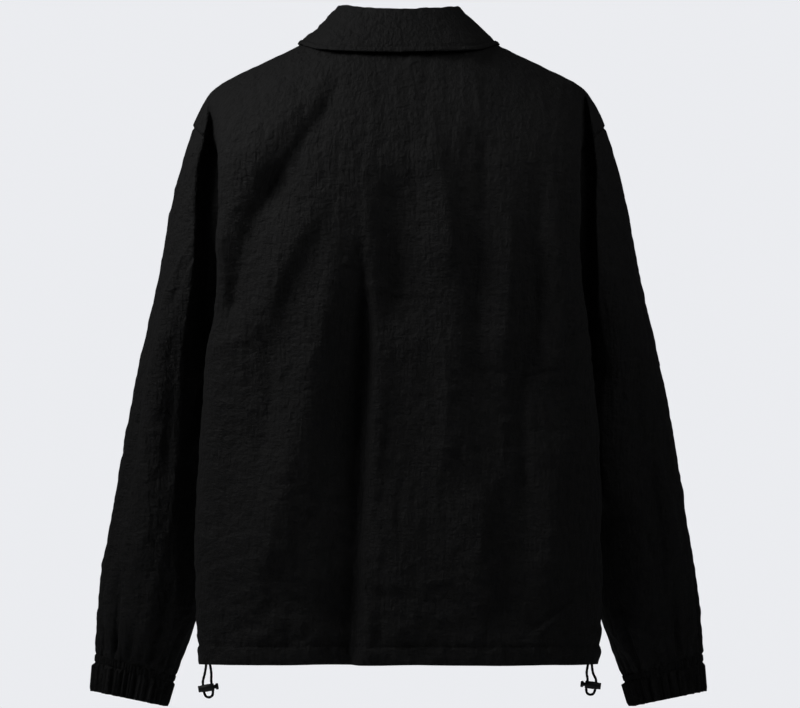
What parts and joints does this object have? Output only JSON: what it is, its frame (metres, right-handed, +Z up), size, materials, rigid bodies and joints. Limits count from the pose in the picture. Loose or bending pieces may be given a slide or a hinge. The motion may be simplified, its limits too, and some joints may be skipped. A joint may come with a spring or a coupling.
{
  "type": "collared windbreaker",
  "caption": "Hip-length collared windbreaker, filled out as worn, with gathered elastic cuffs, a plain stud front and a corded hem with spring cord locks.",
  "frame": {"origin": "middle of the neck opening, level with the neck ends of the shoulder seams, where the wearer's shoulders hold the jacket up", "axes": "+Z up, -Y the way the front faces, +X the wearer's left"},
  "size_m": [0.692, 0.2582, 0.7874],
  "materials": {
    "windbreaker_cloth": "black crinkled nylon with a faint sheen",
    "elastic_casing": "black nylon gathered over elastic",
    "elastic_cord": "black braided elastic cord",
    "lock_plastic": "black moulded plastic",
    "stud_lacquer": "black lacquered press stud"
  },
  "bodies": {
    "root": {"back": "windbreaker_cloth", "front_left": "windbreaker_cloth", "front_right": "windbreaker_cloth", "sleeve_left": "windbreaker_cloth", "sleeve_right": "windbreaker_cloth", "collar": "windbreaker_cloth", "cuff_left": "elastic_casing", "cuff_right": "elastic_casing", "stud_1": "stud_lacquer", "stud_2": "stud_lacquer", "stud_3": "stud_lacquer", "stud_4": "stud_lacquer", "stud_5": "stud_lacquer", "hem_cord_left": "elastic_cord", "hem_cord_right": "elastic_cord", "lock_barrel_left": "lock_plastic", "lock_barrel_right": "lock_plastic"},
    "plunger_left": {"lock_plunger_left": "lock_plastic"},
    "plunger_right": {"lock_plunger_right": "lock_plastic"}
  },
  "joints": [
    {"name": "press_left_lock", "type": "slide", "parent": "root", "child": "plunger_left", "axis": [0.9877, 0, -0.1564], "range_m": [0, 0.0018], "stiffness_N_per_m": 800, "springref_m": -0.004},
    {"name": "press_right_lock", "type": "slide", "parent": "root", "child": "plunger_right", "axis": [-0.9925, 0, -0.1219], "range_m": [0, 0.0018], "stiffness_N_per_m": 800, "springref_m": -0.004}
  ]
}
